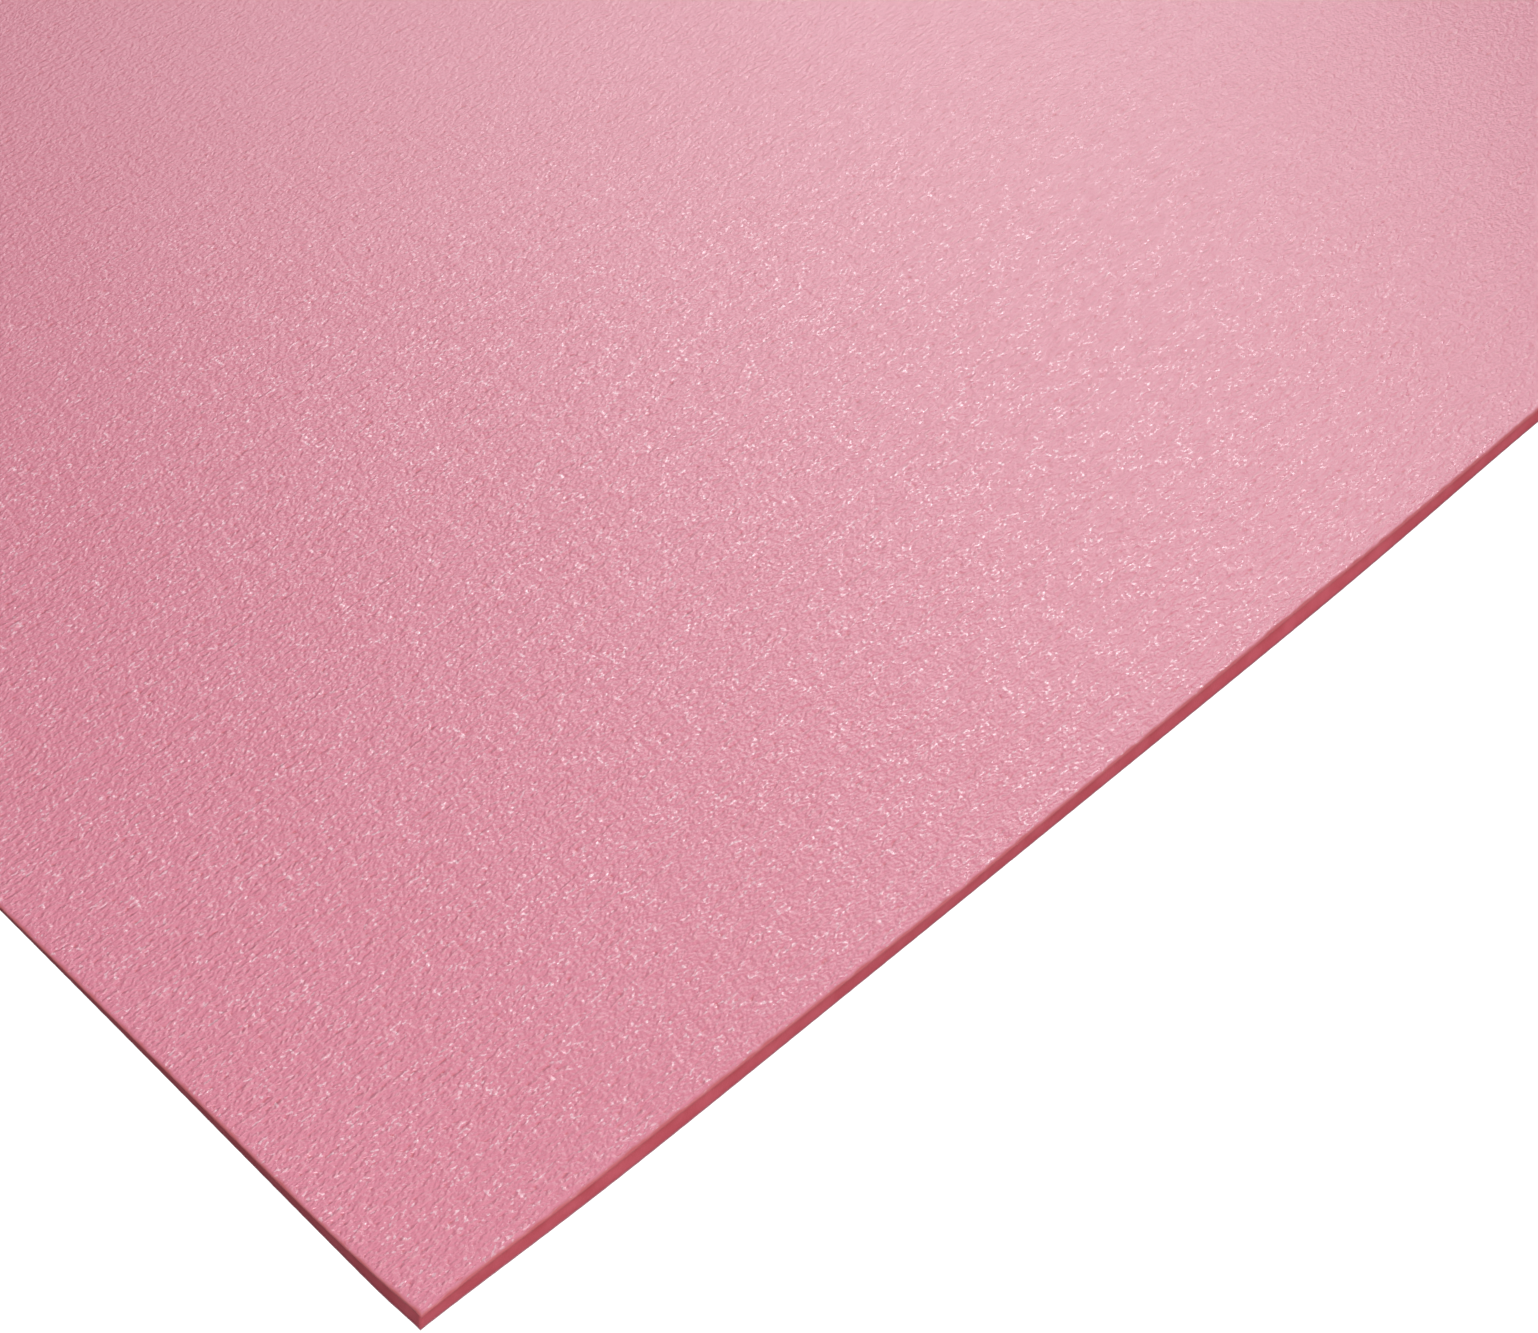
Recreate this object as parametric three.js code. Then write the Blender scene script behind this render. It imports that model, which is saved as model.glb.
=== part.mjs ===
// Scoring mat: a thin, soft, square foam board that lies under paper while a stylus
// scores, embosses or pricks it.
//
// It is a laminate of three sheets bonded flat and cut square in one stroke per side:
// a thin embossed skin that the paper lies on, a closed-cell foam core that gives under
// the stylus, and a thin smooth skin underneath. The sheets touch face to face, share no
// volume and end flush on all four cut edges.
//
// Millimetres, +Z up. The origin is the centre of the face that the mat rests on. X and Y
// run along the cut edges, with the rows of the emboss along X, and the working face is up.

import * as THREE from 'three';

// Driving dimensions
const BOARD_LENGTH = 305; // along X: a 12 inch scrapbook page
const BOARD_WIDTH = 305; // along Y
const BOARD_THICKNESS = 3;
const FACE_SKIN_THICKNESS = 0.25;
const UNDERSIDE_SKIN_THICKNESS = 0.25;

// Heights of the bonded faces
const CORE_BOTTOM = UNDERSIDE_SKIN_THICKNESS;
const CORE_TOP = BOARD_THICKNESS - FACE_SKIN_THICKNESS;

// Finishes
const pearlPink = new THREE.MeshStandardMaterial({ color: 0xde96a5, roughness: 0.42, metalness: 0 });
const cutFoam = new THREE.MeshStandardMaterial({ color: 0xb9505f, roughness: 0.85, metalness: 0 });
const plainSkin = new THREE.MeshStandardMaterial({ color: 0xa5505f, roughness: 0.7, metalness: 0 });

/** The board's plan: a rectangle centred on the origin, with square-cut corners. */
function boardOutline() {
  const x = BOARD_LENGTH / 2;
  const y = BOARD_WIDTH / 2;
  const outline = new THREE.Shape();
  outline.moveTo(-x, -y);
  outline.lineTo(x, -y);
  outline.lineTo(x, y);
  outline.lineTo(-x, y);
  outline.closePath();
  return outline;
}

/** One sheet of the laminate: the board's plan, solid from one height to another. */
function sheet(name, bottom, top, material) {
  const geometry = new THREE.ExtrudeGeometry(boardOutline(), { depth: top - bottom, bevelEnabled: false });
  const mesh = new THREE.Mesh(geometry, material);
  mesh.name = name;
  mesh.position.z = bottom;
  return mesh;
}

const scoringMat = new THREE.Group();
scoringMat.add(
  sheet('underside_skin', 0, CORE_BOTTOM, plainSkin),
  sheet('foam_core', CORE_BOTTOM, CORE_TOP, cutFoam),
  sheet('embossed_face_skin', CORE_TOP, BOARD_THICKNESS, pearlPink),
);

export default scoringMat;
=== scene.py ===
"""A scoring mat: a thin foam board with an embossed pearly film on top, lying on a pale floor."""

import math

import bpy
import numpy as np
from mathutils import Matrix, Vector


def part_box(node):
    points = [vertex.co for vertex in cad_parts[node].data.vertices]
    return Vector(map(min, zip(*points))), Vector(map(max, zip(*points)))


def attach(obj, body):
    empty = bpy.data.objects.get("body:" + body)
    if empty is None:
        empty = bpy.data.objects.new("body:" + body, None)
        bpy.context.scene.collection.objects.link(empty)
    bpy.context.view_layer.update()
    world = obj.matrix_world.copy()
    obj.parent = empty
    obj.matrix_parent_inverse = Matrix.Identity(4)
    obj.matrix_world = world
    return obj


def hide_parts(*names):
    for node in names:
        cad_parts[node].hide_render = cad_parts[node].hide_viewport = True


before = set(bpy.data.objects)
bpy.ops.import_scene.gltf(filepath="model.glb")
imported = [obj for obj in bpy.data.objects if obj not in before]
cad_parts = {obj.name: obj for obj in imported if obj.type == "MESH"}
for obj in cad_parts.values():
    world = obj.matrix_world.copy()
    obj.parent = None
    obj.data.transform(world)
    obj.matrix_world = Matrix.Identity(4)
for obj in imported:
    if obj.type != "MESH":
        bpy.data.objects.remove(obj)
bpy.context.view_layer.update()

MM = 0.001
TURN = 2 * math.pi

# ---------------------------------------------------------------- sizes from the frame

face_low, face_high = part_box("embossed_face_skin")
core_low, core_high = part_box("foam_core")
under_low, under_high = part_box("underside_skin")

HALF_X = face_high[0]
HALF_Y = face_high[1]
TOP = face_high[2]

# ---------------------------------------------------------------- the sheet's true shape

# The long shallow waves that the sheet lies in: (size, share of x, share of y, length, start in radians).
LIE_WAVES = (
    (1.0, 1.0, 0.4, 190 * MM, 0.6),
    (0.7, -0.3, 1.0, 140 * MM, 2.1),
    (0.5, 1.0, -1.0, 85 * MM, 4.0),
)
LIE_HEIGHT = 0.012 * MM


def lie(x, y):
    """How far the sheet lifts off the table: a sum of sine waves, squared so that it never sinks."""
    wave = sum(
        size * np.sin(TURN * (x_share * x + y_share * y) / length + start)
        for size, x_share, y_share, length, start in LIE_WAVES
    )
    return LIE_HEIGHT * wave**2


# How a side was cut, in mm: how far the whole cut stands outward, how far its top leans outward, its
# path and its tip. The path lists the swells and hollows of the cut line as (outward, where from the
# side's -X or -Y end, half width). The tip lists where the blade leaned a little more or less.
FRONT_CUT = {
    "outward": 0.52,
    "lean": -0.12,
    "path": [(-1.08, -4, 24), (-1.25, 212, 36)],
    "tip": [(0.3, 0, 8), (-0.2, 37, 11), (0.3, 86, 18), (-0.45, 153, 22)],
}
RIGHT_CUT = {
    "outward": 0.10,
    "lean": 0.05,
    "path": [(-0.70, 20, 40), (0.45, 190, 60)],
    "tip": [(-0.3, 60, 25), (0.35, 140, 30), (-0.3, 250, 35)],
}
BACK_CUT = {
    "outward": 0.15,
    "lean": -0.05,
    "path": [(0.40, 110, 50), (-0.80, 300, 45)],
    "tip": [(0.3, 40, 20), (-0.25, 120, 30), (0.4, 240, 40)],
}
LEFT_CUT = {
    "outward": -0.09,
    "lean": 0.0,
    "path": [(0.35, 0, 50), (-0.3, 0, 5), (0.45, 210, 60)],
    "tip": [(-0.45, 0, 14), (0.6, 100, 55), (-0.3, 240, 40)],
}
CHATTER = 0.012 * MM  # the saw-like ripple that the blade leaves along the cut
CHATTER_LENGTH = 2.7 * MM
RIM_POWER = 24  # makes a cut's shape die away inward over about a twentieth of the half width
DRAG_DEPTH = 0.14 * MM  # how far the blade drags the top down at the rim
DRAG_REACH = 0.30 * MM


def swells(along, listed):
    """The sum of bell curves, each size * exp(-((along - centre) / half width) squared)."""
    total = np.zeros(np.shape(along))
    for size, centre, width in listed:
        total = total + size * MM * np.exp(-(((along - centre * MM) / (width * MM)) ** 2))
    return total


def cut_line(cut, along, height):
    """How far a cut face stands outward of its straight line: the cut's path, plus its lean times
    height, plus a cosine ripple. along is the distance from the side's -X or -Y end, and height runs
    from 0 at the underside to 1 at the top."""
    ripple = CHATTER * np.cos(TURN * along / CHATTER_LENGTH)
    lean = cut["lean"] * MM + swells(along, cut["tip"])
    return cut["outward"] * MM + swells(along, cut["path"]) + height * lean + ripple


def plan(p, q, inset, height):
    """The point of the sheet at p and q, each from -1 to 1 across it, drawn in from the cut by inset.
    Each cut's line is added in full at its own side and by a high power of p or q further in."""
    x = p * (HALF_X - inset)
    y = q * (HALF_Y - inset)
    left, right = np.clip(-p, 0, 1) ** RIM_POWER, np.clip(p, 0, 1) ** RIM_POWER
    front, back = np.clip(-q, 0, 1) ** RIM_POWER, np.clip(q, 0, 1) ** RIM_POWER
    along_x, along_y = x + HALF_X, y + HALF_Y
    x = x + right * cut_line(RIGHT_CUT, along_y, height) - left * cut_line(LEFT_CUT, along_y, height)
    y = y + back * cut_line(BACK_CUT, along_x, height) - front * cut_line(FRONT_CUT, along_x, height)
    return x, y


def drag(inset):
    """How far the top is dragged down this far in from the cut: a short exponential."""
    return DRAG_DEPTH * np.exp(-inset / DRAG_REACH)


def sheet_surface(low, high):
    """The surface function of one sheet of the laminate between two heights of the flat board: its
    plan, lifted by the lie and dragged down in proportion to its height."""
    def surface(p, q, inset, level):
        z = low + (high - low) * level
        share = z / TOP
        x, y = plan(p, q, inset, share)
        return x, y, z + lie(x, y) - share * drag(inset)
    return surface


# ---------------------------------------------------------------- meshes


def perimeter(n):
    """Grid indices of the rim of an (n by n) grid of squares, anticlockwise from the -X -Y corner."""
    there, back = np.arange(n), np.arange(n, 0, -1)
    near, far = np.zeros(n, int), np.full(n, n)
    return np.concatenate([there, far, back, near]), np.concatenate([near, there, far, back])


def grid_faces(n, first):
    """Squares of an (n by n) grid whose points are numbered row by row from first."""
    i, j = np.meshgrid(np.arange(n), np.arange(n), indexing="ij")
    a = first + i * (n + 1) + j
    return np.stack([a, a + n + 1, a + n + 2, a + 1], -1).reshape(-1, 4)


def ring_faces(lower, upper):
    """Squares between two rings of the same count, the lower one first, facing outward."""
    lower_next, upper_next = np.roll(lower, -1), np.roll(upper, -1)
    return np.stack([lower, lower_next, upper_next, upper], -1)


def zipped(ring, coarse, step, up):
    """Triangles from a rim ring inward to one with a step'th of its points. The first half of each
    stretch of the ring goes to the coarse point behind it, and the rest to the one ahead."""
    n = len(coarse)
    starts = np.arange(n) * step
    ahead = np.roll(coarse, -1)
    made = []
    for k in range(step):
        fine = ring[starts + k]
        fine_next = ring[(starts + k + 1) % len(ring)]
        pivot = coarse if k < step // 2 else ahead
        made.append(np.stack([fine, fine_next, pivot], -1))
    middle = ring[starts + step // 2]
    made.append(np.stack([middle, ahead, coarse], -1))
    made = np.concatenate(made)
    return made if up else made[:, ::-1]


def slab(name, squares, top_step, bottom_step, rings, surface):
    """A closed sheet. Its two faces are grids and its rim is a stack of rings.

    squares is the count of rim points along each side. top_step and bottom_step say how many of them
    each face's grid takes per square: a step over 1 makes a coarser face, zipped to the rim by
    triangles. rings is a list of (inset in mm, level) from the bottom face out, up and in to the
    top one. surface(p, q, inset, level) gives the points, and level runs from 0 to 1.
    """
    points, faces, levels, insets = [], [], [], []
    count = 0

    def add(p, q, inset, level):
        nonlocal count
        x, y, z = surface(p, q, inset, level)
        points.append(np.stack(np.broadcast_arrays(x, y, z), -1).reshape(-1, 3))
        n = len(points[-1])
        levels.append(np.full(n, level, np.float32))
        insets.append(np.full(n, inset, np.float32))
        numbers = np.arange(count, count + n)
        count += n
        return numbers

    def close(ring, step, inset, level, up):
        """Adds the grid of one face and joins it to its ring of the rim."""
        n = squares // step
        t = np.linspace(-1, 1, n + 1)
        p, q = np.meshgrid(t, t, indexing="ij")
        first = add(p, q, inset, level)[0]
        i, j = perimeter(n)
        rim = first + i * (n + 1) + j
        quads = grid_faces(n, first)
        faces.append(quads if up else quads[:, ::-1])
        if step == 1:
            faces.append(ring_faces(ring, rim) if up else ring_faces(rim, ring))
        else:
            faces.append(zipped(ring, rim, step, up))

    i, j = perimeter(squares)
    p, q = 2 * i / squares - 1, 2 * j / squares - 1
    stack = [add(p, q, inset * MM, level) for inset, level in rings]
    for lower, upper in zip(stack[:-1], stack[1:]):
        faces.append(ring_faces(lower, upper))
    square = 2 * HALF_X / squares
    for step, end, up in ((bottom_step, 0, False), (top_step, -1, True)):
        inset, level = rings[end]
        close(stack[end], step, inset * MM + square * step, level, up)
    return mesh_object(name, np.concatenate(points), faces, np.concatenate(levels), np.concatenate(insets))


def mesh_object(name, points, faces, levels, insets):
    """A smooth-shaded object from arrays of points and faces, with its levels and insets as attributes."""
    mesh = bpy.data.meshes.new(name)
    loops = np.concatenate([f.ravel() for f in faces])
    sizes = np.concatenate([np.full(len(f), f.shape[1]) for f in faces])
    starts = np.concatenate([[0], np.cumsum(sizes)[:-1]])
    mesh.vertices.add(len(points))
    mesh.vertices.foreach_set("co", points.astype(np.float32).ravel())
    mesh.loops.add(len(loops))
    mesh.loops.foreach_set("vertex_index", loops.astype(np.int32))
    mesh.polygons.add(len(sizes))
    mesh.polygons.foreach_set("loop_start", starts.astype(np.int32))
    mesh.polygons.foreach_set("use_smooth", np.ones(len(sizes), bool))
    mesh.update(calc_edges=True)
    for label, values in (("level", levels), ("inset", insets)):
        layer = mesh.attributes.new(label, "FLOAT", "POINT")
        layer.data.foreach_set("value", values)
    mesh.validate()
    obj = bpy.data.objects.new(name, mesh)
    bpy.context.scene.collection.objects.link(obj)
    return obj


SKIN_SQUARES = 280
CORE_SQUARES = 560
WALL_RINGS = 15
WALL_INSET = 0.03  # in mm, halfway up
WALL_BULGE = 0.05  # in mm, how much further in the wall's top and bottom are


def make_face():
    """The film on top. Its rim rounds over into the face, and its hidden lower face is coarse."""
    rings = [(2.0, 0), (0.6, 0), (0, 0), (-0.01, 0.35), (0.01, 0.7), (0.07, 1)]
    rings += [(inset, 1) for inset in (0.16, 0.28, 0.42, 0.6, 0.85, 1.2, 1.7)]
    face = slab("linen_face", SKIN_SQUARES, 1, 4, rings, sheet_surface(face_low[2], face_high[2]))
    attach(face, "root")
    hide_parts("embossed_face_skin")
    return face


def make_core():
    """The foam. Its cut wall is a fine grid that bulges by a parabola of the level, so that it stands
    out furthest halfway up, and both of its hidden faces are coarse."""
    wall = np.linspace(0, 1, WALL_RINGS)
    rings = [(2.0, 0), (0.5, 0)]
    rings += [(float(WALL_INSET + WALL_BULGE * (2 * t - 1) ** 2), float(t)) for t in wall]
    rings += [(0.5, 1), (2.0, 1)]
    core = slab("cut_foam_core", CORE_SQUARES, 8, 8, rings, sheet_surface(core_low[2], core_high[2]))
    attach(core, "root")
    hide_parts("foam_core")
    return core


def make_underside():
    """The skin underneath. Its lower rim is rounded, and both of its faces are coarse."""
    rings = [(2.0, 0), (1.0, 0), (0.5, 0), (0.2, 0), (0.06, 0.1), (0, 0.4), (0, 1), (0.6, 1)]
    surface = sheet_surface(under_low[2], under_high[2])
    under = slab("smooth_underside", SKIN_SQUARES, 2, 4, rings, surface)
    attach(under, "root")
    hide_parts("underside_skin")
    return under


# ---------------------------------------------------------------- shader helpers


class Nodes:
    """Short ways to add and join shader nodes."""

    def __init__(self, tree):
        self.tree = tree

    def add(self, kind, **values):
        node = self.tree.nodes.new(kind)
        for key, value in values.items():
            setattr(node, key, value)
        return node

    def join(self, source, target):
        self.tree.links.new(source, target)

    def feed(self, socket, value):
        if isinstance(value, bpy.types.NodeSocket):
            self.join(value, socket)
        else:
            socket.default_value = value

    def math(self, operation, a, b=0.0, c=0.0):
        node = self.add("ShaderNodeMath", operation=operation)
        for socket, value in zip(node.inputs, (a, b, c)):
            self.feed(socket, value)
        return node.outputs[0]

    def mix(self, share, a, b):
        node = self.add("ShaderNodeMix", data_type="RGBA")
        self.feed(node.inputs[0], share)
        self.feed(node.inputs[6], a)
        self.feed(node.inputs[7], b)
        return node.outputs[2]

    def ramp(self, value, low, high, to_low=0.0, to_high=1.0):
        """A smooth step from to_low, where value is low, to to_high, where it is high."""
        node = self.add("ShaderNodeMapRange", interpolation_type="SMOOTHSTEP")
        for socket, v in zip(node.inputs, (value, low, high, to_low, to_high)):
            self.feed(socket, v)
        return node.outputs[0]

    def noise(self, vector, scale, detail, roughness=0.5):
        node = self.add("ShaderNodeTexNoise")
        self.join(vector, node.inputs["Vector"])
        self.feed(node.inputs["Scale"], scale)
        node.inputs["Detail"].default_value = detail
        node.inputs["Roughness"].default_value = roughness
        return node.outputs["Fac"]

    def stretched_noise(self, vector, along, across, detail):
        """Noise with this many cells per metre along X and across it, so that it runs along the rows."""
        stretch = self.add("ShaderNodeVectorMath", operation="MULTIPLY")
        self.join(vector, stretch.inputs[0])
        stretch.inputs[1].default_value = (along, across, 1.0)
        return self.noise(stretch.outputs[0], 1.0, detail)

    def bump(self, height, distance):
        node = self.add("ShaderNodeBump")
        node.inputs["Distance"].default_value = distance
        self.join(height, node.inputs["Height"])
        return node.outputs[0]

    def group(self, tree, **values):
        node = self.add("ShaderNodeGroup", node_tree=tree)
        for key, value in values.items():
            self.feed(node.inputs[key], value)
        return node.outputs

    def object_vector(self):
        return self.add("ShaderNodeTexCoord").outputs["Object"]

    def attribute(self, name):
        return self.add("ShaderNodeAttribute", attribute_name=name).outputs["Fac"]

    def camera_sees(self):
        return self.add("ShaderNodeLightPath").outputs["Is Camera Ray"]


FLOAT, VECTOR = "NodeSocketFloat", "NodeSocketVector"


def new_group(name, inputs, outputs):
    """A shader node group with named inputs (name, socket type, default) and outputs (name, type)."""
    tree = bpy.data.node_groups.new(name, "ShaderNodeTree")
    for label, kind, default in inputs:
        socket = tree.interface.new_socket(label, in_out="INPUT", socket_type=kind)
        if default is not None:
            socket.default_value = default
    for label, kind in outputs:
        tree.interface.new_socket(label, in_out="OUTPUT", socket_type=kind)
    nodes = Nodes(tree)
    return nodes, nodes.add("NodeGroupInput").outputs, nodes.add("NodeGroupOutput").inputs


# ---------------------------------------------------------------- shared effects

# The emboss roll's lattice: the length of its pitch along X, the spacing of its rows and their slant.
PITCH = 0.90 * MM
ROW = 1.24 * MM
ROW_SLANT = -0.039

# The roll's plane waves: (size, cycles per pitch, cycles per row, start in radians).
LINEN_WAVES = (
    (0.15, 0, 1, 0.0), (0.05, 1, 0, 0.5), (0.045, 1, -0.5, 2.0), (0.03, 1, 0.5, 4.0),
    (0.04, 1, -1.5, 3.0), (0.08, 0.27, 0, 1.5), (0.09, 0.24, -0.63, 2.5), (0.04, 0.67, -0.49, 0.2),
)

# The film's own crinkle: (cells per metre along X, cells per metre across it, size, detail).
CRINKLES = ((800, 1700, 2.2, 0.0), (2000, 3200, 1.8, 0.5))

# The glinting flecks and the clusters that they gather in: (cells per metre along X, cells per metre
# across it, detail).
CLUSTER_CELLS = (280, 480, 1.0)
FLECK_CELLS = (1500, 2500, 0.0)

# The roll presses unevenly, in one long wave along X and one along Y: (length, where it presses
# deepest, the middle depth, the swing about it).
ROLL_WAVES = ((700 * MM, -170 * MM, 0.64, 0.27), (347 * MM, -94 * MM, 0.77, 0.20))


def plane_waves(n, place, pitch, row):
    """The height of the roll's lattice: a sum of cosines of the place counted in pitches and rows."""
    pitches = n.math("DIVIDE", place[0], pitch)
    rows = n.math("DIVIDE", n.math("MULTIPLY_ADD", place[0], ROW_SLANT, place[1]), row)
    total = 0.0
    for size, across, up, start in LINEN_WAVES:
        phase = n.math("MULTIPLY_ADD", pitches, across * TURN, start)
        phase = n.math("MULTIPLY_ADD", rows, up * TURN, phase)
        total = n.math("MULTIPLY_ADD", n.math("COSINE", phase), size, total)
    return total


def roll_depth(n, place):
    """How deep the roll presses: the product of one cosine wave along X and one along Y."""
    depth = 1.0
    for axis, (length, crest, middle, swing) in enumerate(ROLL_WAVES):
        phase = n.math("MULTIPLY_ADD", place[axis], TURN / length, -TURN * crest / length)
        wave = n.math("MULTIPLY_ADD", n.math("COSINE", phase), swing, middle)
        depth = n.math("MULTIPLY", wave, depth)
    return depth


def linen_group():
    """Crinkled rows. Height is the roll's plane waves and two octaves of noise drawn out along X, times
    the roll's depth. Crest and Pit mark its high and low places. Spark marks its glinting flecks: fine
    noise inside clusters of coarser noise, fading out where the roll presses least."""
    n, into, out = new_group(
        "linen_emboss",
        [("Vector", VECTOR, None), ("Pitch", FLOAT, PITCH), ("Row", FLOAT, ROW)],
        [("Height", FLOAT), ("Crest", FLOAT), ("Pit", FLOAT), ("Spark", FLOAT)],
    )
    vector = into["Vector"]
    split = n.add("ShaderNodeSeparateXYZ")
    n.join(vector, split.inputs[0])
    total = plane_waves(n, split.outputs, into["Pitch"], into["Row"])
    for along, across, size, detail in CRINKLES:
        grain = n.stretched_noise(vector, along, across, detail)
        total = n.math("ADD", total, n.math("MULTIPLY_ADD", grain, size, -size / 2))
    depth = roll_depth(n, split.outputs)
    cluster = n.ramp(n.stretched_noise(vector, *CLUSTER_CELLS), 0.36, 0.60)
    fleck = n.ramp(n.stretched_noise(vector, *FLECK_CELLS), 0.48, 0.70)
    spark = n.math("MULTIPLY", n.math("MULTIPLY", cluster, fleck), n.ramp(depth, 0.15, 0.70))
    n.join(n.math("MULTIPLY", total, depth), out["Height"])
    n.join(n.ramp(total, 0.3, 1.2), out["Crest"])
    n.join(n.ramp(total, -0.45, -1.2), out["Pit"])
    n.join(spark, out["Spark"])
    return n.tree


def mottle_group():
    """Slow blotches of colour and a fine speckle, both noise on the object's own coordinates."""
    n, into, out = new_group(
        "mottle",
        [("Vector", VECTOR, None), ("Blotch", FLOAT, 60.0), ("Speck", FLOAT, 2500.0)],
        [("Blotches", FLOAT), ("Specks", FLOAT)],
    )
    for label, size, detail in (("Blotches", "Blotch", 3.0), ("Specks", "Speck", 2.0)):
        n.join(n.noise(into["Vector"], into[size], detail, 0.55), out[label])
    return n.tree


# ---------------------------------------------------------------- materials

PEARL = (0.695, 0.204, 0.298, 1)
# Deeper pink: painted shade in the pits, and the random tone of the blotches.
PEARL_BLOTCH_AND_PIT_SHADE = (0.64, 0.13, 0.185, 1)
# Lighter pink mixed onto the crests: a painted highlight.
PEARL_CREST_HIGHLIGHT = (0.76, 0.305, 0.375, 1)
# Near-white pink on the glossy flecks: a painted glint.
PEARL_PAINTED_GLINT = (0.94, 0.64, 0.71, 1)
PEARL_ROUGHNESS = 0.40
FLECK_ROUGHNESS = 0.25
PEARL_IOR = 1.75
PEARL_SHINE = 0.9
EMBOSS_DEPTH = 0.088 * MM

CRIMSON = (0.51, 0.077, 0.105, 1)
CRIMSON_BROWN = (0.46, 0.070, 0.088, 1)
CRIMSON_LIGHT = (0.62, 0.12, 0.16, 1)
CUT_ROUGHNESS = 0.95
RAGGED_CELLS = 420  # per metre
RAGGED_SWING = 0.5 * MM
FOAM_ROUGHNESS = 0.8
FOAM_SHINE = 0.3
CELL_DEPTH = 0.03 * MM

DUSKY = (0.30, 0.085, 0.115, 1)
DUSKY_LIGHT = (0.36, 0.11, 0.145, 1)
DUSKY_ROUGHNESS = 0.6
GRAIN_DEPTH = 0.04 * MM


def new_material(name):
    """An empty node material with its principled shader joined to the output."""
    material = bpy.data.materials.new(name)
    material.use_nodes = True
    n = Nodes(material.node_tree)
    material.node_tree.nodes.clear()
    shader = n.add("ShaderNodeBsdfPrincipled")
    surface = n.add("ShaderNodeOutputMaterial")
    n.join(shader.outputs[0], surface.inputs[0])
    return material, n, shader.inputs


def pearl_material(linen, mottle):
    """Pearly embossed film that turns to matte, browner foam over a ragged line at the cut. Its crests
    carry a painted highlight, its pits painted shade and its glossy flecks a painted glint.
    """
    material, n, shader = new_material("pearl_pink_film")
    vector = n.object_vector()
    inset = n.attribute("inset")
    emboss = n.group(linen, Vector=vector)
    blotch = n.group(mottle, Vector=vector, Blotch=45.0, Speck=2200.0)
    ragged = n.math("MULTIPLY_ADD", n.noise(vector, RAGGED_CELLS, 1.0), -RAGGED_SWING, inset)
    cut = n.ramp(ragged, -0.20 * MM, 0.25 * MM, 1.0, 0.0)
    # Painted highlight: the crests are mixed towards a lighter pink.
    colour = n.mix(emboss["Crest"], PEARL, PEARL_CREST_HIGHLIGHT)
    # Painted shade: the pits are mixed towards the deeper pink.
    colour = n.mix(emboss["Pit"], colour, PEARL_BLOTCH_AND_PIT_SHADE)
    colour = n.mix(n.ramp(blotch["Blotches"], 0.35, 0.75, 0.0, 0.08), colour, PEARL_BLOTCH_AND_PIT_SHADE)
    # Painted glint: the glossy flecks are mixed towards a near-white pink.
    colour = n.mix(n.ramp(emboss["Spark"], 0.6, 1.0, 0.0, 0.6), colour, PEARL_PAINTED_GLINT)
    colour = n.mix(cut, colour, CRIMSON_BROWN)
    n.join(colour, shader["Base Color"])
    rough = n.ramp(emboss["Spark"], 0.0, 0.8, PEARL_ROUGHNESS, FLECK_ROUGHNESS)
    rough = n.math("MAXIMUM", rough, n.ramp(ragged, -0.25 * MM, 0.25 * MM, CUT_ROUGHNESS, 0.0))
    n.join(rough, shader["Roughness"])
    shader["IOR"].default_value = PEARL_IOR
    shader["Specular IOR Level"].default_value = PEARL_SHINE
    pressed = n.ramp(inset, 0.1 * MM, 0.8 * MM)  # the blade presses the rim smooth
    height = n.math("MULTIPLY", emboss["Height"], pressed)
    n.join(n.bump(height, EMBOSS_DEPTH), shader["Normal"])
    return material


def foam_material(mottle):
    """Matte crimson foam, browner towards the top of the cut, with lighter blotches and open cells."""
    material, n, shader = new_material("crimson_cut_foam")
    blotch = n.group(mottle, Vector=n.object_vector(), Blotch=260.0, Speck=2600.0)
    colour = n.mix(n.ramp(n.attribute("level"), 0.45, 1.0), CRIMSON, CRIMSON_BROWN)
    colour = n.mix(n.ramp(blotch["Blotches"], 0.35, 0.7, 0.0, 0.5), colour, CRIMSON_LIGHT)
    n.join(colour, shader["Base Color"])
    shader["Roughness"].default_value = FOAM_ROUGHNESS
    shader["Specular IOR Level"].default_value = FOAM_SHINE
    n.join(n.bump(blotch["Specks"], CELL_DEPTH), shader["Normal"])
    return material


def underside_material(mottle):
    """Plain dusky skin with a slight grain."""
    material, n, shader = new_material("dusky_underside_skin")
    blotch = n.group(mottle, Vector=n.object_vector(), Blotch=40.0, Speck=900.0)
    n.join(n.mix(blotch["Blotches"], DUSKY, DUSKY_LIGHT), shader["Base Color"])
    shader["Roughness"].default_value = DUSKY_ROUGHNESS
    n.join(n.bump(blotch["Specks"], GRAIN_DEPTH), shader["Normal"])
    return material


# ---------------------------------------------------------------- camera, floor and light

LOOK_TURN = math.radians(47.73)  # from +X towards +Y
LOOK_DOWN = math.radians(48.66)
ROLL = math.radians(-2.02)
LENS = 72.35
SENSOR = 36
EYE = Vector((-HALF_X - 87.0 * MM, -HALF_Y - 157.8 * MM, TOP + 308.4 * MM))

FLOOR_HALF = 6.0
FLOOR_DROP = 0.02 * MM  # how far it lies under the mat, so that the two don't share a plane
FLOOR_GREY = (0.25, 0.25, 0.25, 1)
FLOOR_GLOW = 0.95  # as the camera sees it

LAMPS_AIM = Vector((-0.03, -0.05, 0))
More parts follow.
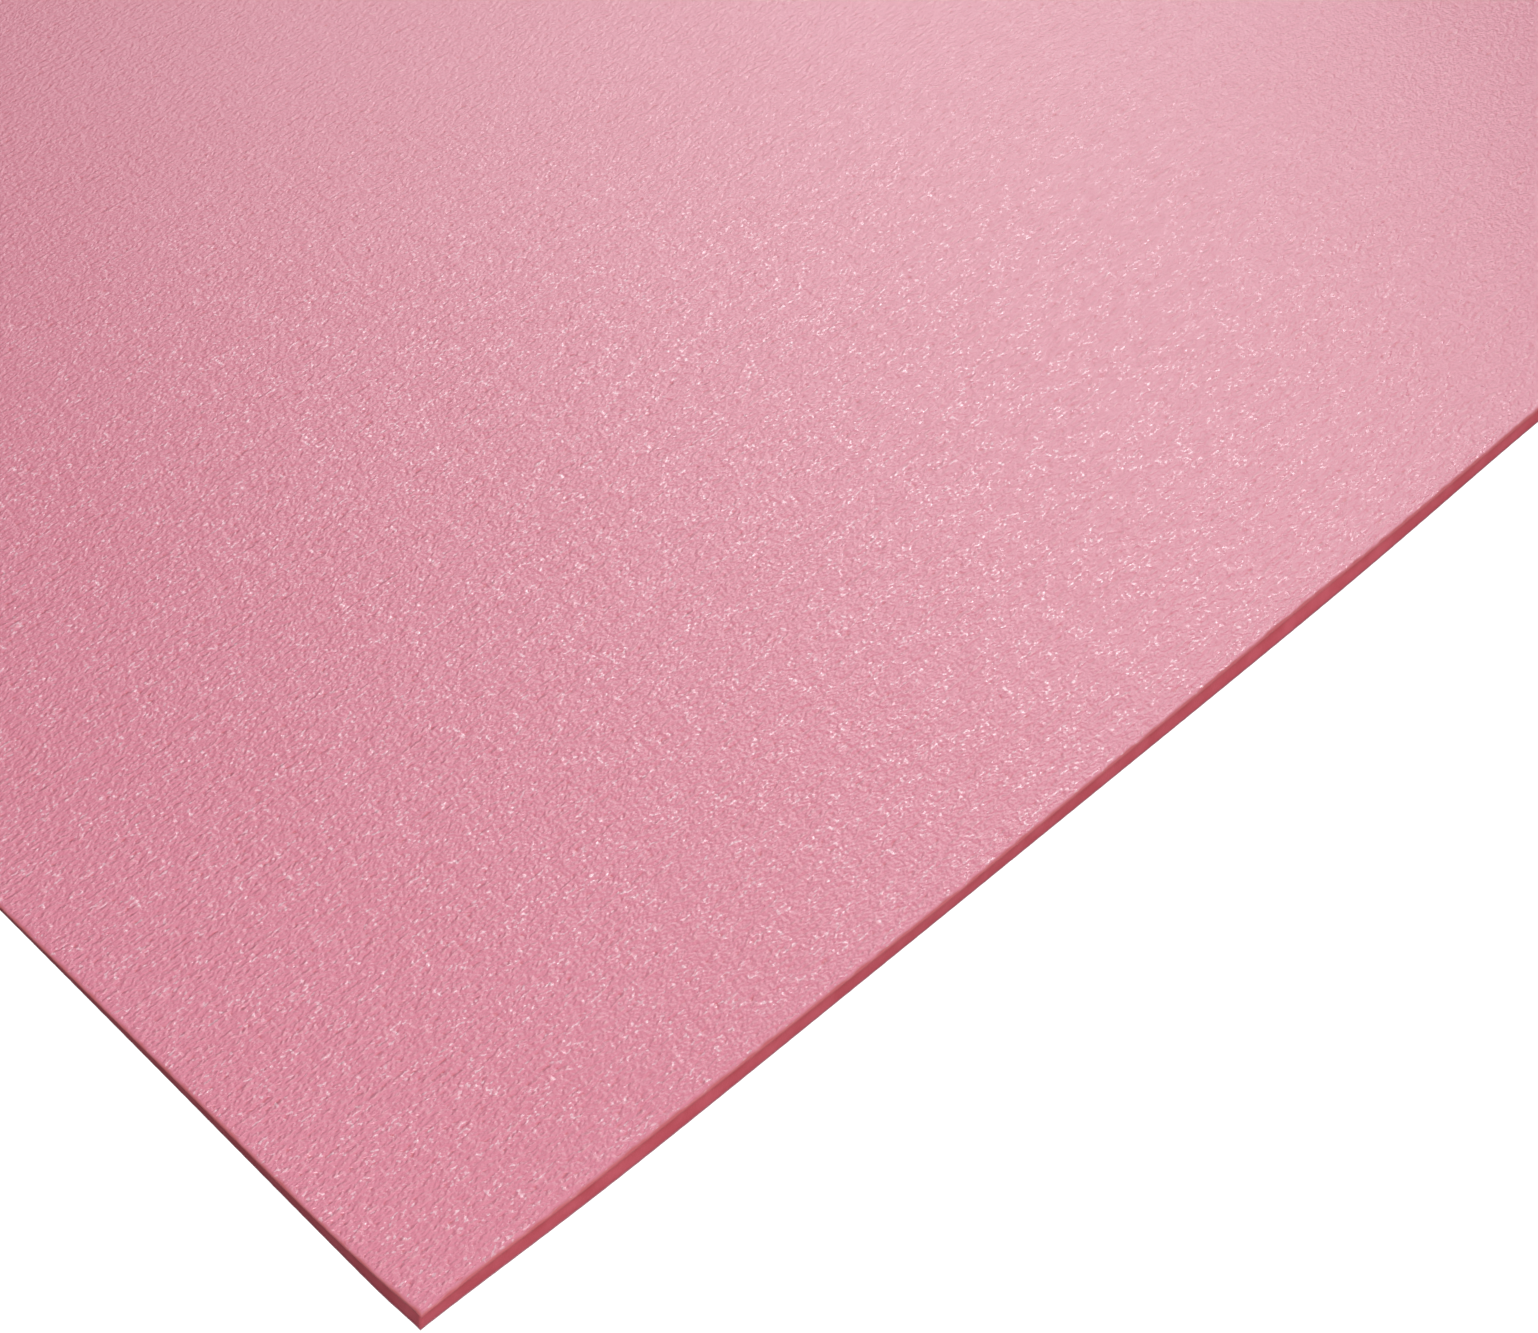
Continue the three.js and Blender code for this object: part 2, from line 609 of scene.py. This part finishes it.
# Each lamp: name, bearing from +X towards +Y and height angle in degrees, distance, width, power.
LAMPS = (
    ("key", -93, 23, 2.5, 0.45, 38.0),
    ("side_fill", -150, 56, 0.65, 0.20, 1.8),
    ("far_glow", 48, 34, 1.15, 0.85, 2.8),
    ("small_glow", 36, 40, 1.15, 0.36, 0.8),
    ("glint", 12, 50, 1.15, 0.16, 1.1),
)
WHITE = (1, 1, 1, 1)
SKY_AS_LIGHT = 0.15
SKY_AS_SEEN = 1.0


def direction(turn, rise):
    """The unit vector at a bearing from +X towards +Y and an angle above the floor, in radians."""
    return Vector((math.cos(rise) * math.cos(turn), math.cos(rise) * math.sin(turn), math.sin(rise)))


def make_camera():
    forward = direction(LOOK_TURN, -LOOK_DOWN)
    right = Vector((math.sin(LOOK_TURN), -math.cos(LOOK_TURN), 0))
    up = right.cross(forward)
    right, up = (
        math.cos(ROLL) * right + math.sin(ROLL) * up,
        math.cos(ROLL) * up - math.sin(ROLL) * right,
    )
    data = bpy.data.cameras.new("camera")
    data.sensor_width = SENSOR
    data.lens = LENS
    data.clip_start = 0.01
    camera = bpy.data.objects.new("camera", data)
    bpy.context.scene.collection.objects.link(camera)
    axes = Matrix((right, up, -forward)).transposed()
    camera.matrix_world = Matrix.Translation(EYE) @ axes.to_4x4()
    bpy.context.scene.camera = camera


def floor_material():
    """Matte grey to the light, with a glow that only the camera sees."""
    material = bpy.data.materials.new("white_floor")
    material.use_nodes = True
    n = Nodes(material.node_tree)
    material.node_tree.nodes.clear()
    glow = n.add("ShaderNodeEmission")
    glow.inputs[1].default_value = FLOOR_GLOW
    matte = n.add("ShaderNodeBsdfDiffuse")
    matte.inputs[0].default_value = FLOOR_GREY
    both = n.add("ShaderNodeAddShader")
    n.join(glow.outputs[0], both.inputs[0])
    n.join(matte.outputs[0], both.inputs[1])
    pick = n.add("ShaderNodeMixShader")
    n.join(n.camera_sees(), pick.inputs[0])
    n.join(matte.outputs[0], pick.inputs[1])
    n.join(both.outputs[0], pick.inputs[2])
    n.join(pick.outputs[0], n.add("ShaderNodeOutputMaterial").inputs[0])
    return material


def make_floor():
    signs = [(-1, -1), (1, -1), (1, 1), (-1, 1)]
    corners = [(x * FLOOR_HALF, y * FLOOR_HALF, -FLOOR_DROP) for x, y in signs]
    mesh = bpy.data.meshes.new("floor")
    mesh.from_pydata(corners, [], [(0, 1, 2, 3)])
    mesh.materials.append(floor_material())
    floor = bpy.data.objects.new("floor", mesh)
    bpy.context.scene.collection.objects.link(floor)


def make_lamp(name, turn, rise, reach, size, power):
    """A round lamp aimed at the near half of the sheet."""
    away = direction(math.radians(turn), math.radians(rise))
    data = bpy.data.lights.new(name, "AREA")
    data.shape = "DISK"
    data.size = size
    data.energy = power
    light = bpy.data.objects.new(name, data)
    bpy.context.scene.collection.objects.link(light)
    light.location = LAMPS_AIM + reach * away
    light.rotation_mode = "QUATERNION"
    light.rotation_quaternion = away.to_track_quat("Z", "Y")


def make_sky():
    """Dim white to the light and full white to the camera."""
    world = bpy.data.worlds.new("studio")
    bpy.context.scene.world = world
    world.use_nodes = True
    n = Nodes(world.node_tree)
    world.node_tree.nodes.clear()
    pick = n.add("ShaderNodeMixShader")
    n.join(n.camera_sees(), pick.inputs[0])
    for socket, strength in ((pick.inputs[1], SKY_AS_LIGHT), (pick.inputs[2], SKY_AS_SEEN)):
        background = n.add("ShaderNodeBackground")
        background.inputs[0].default_value = WHITE
        background.inputs[1].default_value = strength
        n.join(background.outputs[0], socket)
    n.join(pick.outputs[0], n.add("ShaderNodeOutputWorld").inputs[0])


# ---------------------------------------------------------------- the scene

make_camera()
make_floor()
for lamp in LAMPS:
    make_lamp(*lamp)
make_sky()
bpy.context.scene.view_settings.view_transform = "Standard"
linen = linen_group()
mottle = mottle_group()
make_face().data.materials.append(pearl_material(linen, mottle))
make_core().data.materials.append(foam_material(mottle))
make_underside().data.materials.append(underside_material(mottle))
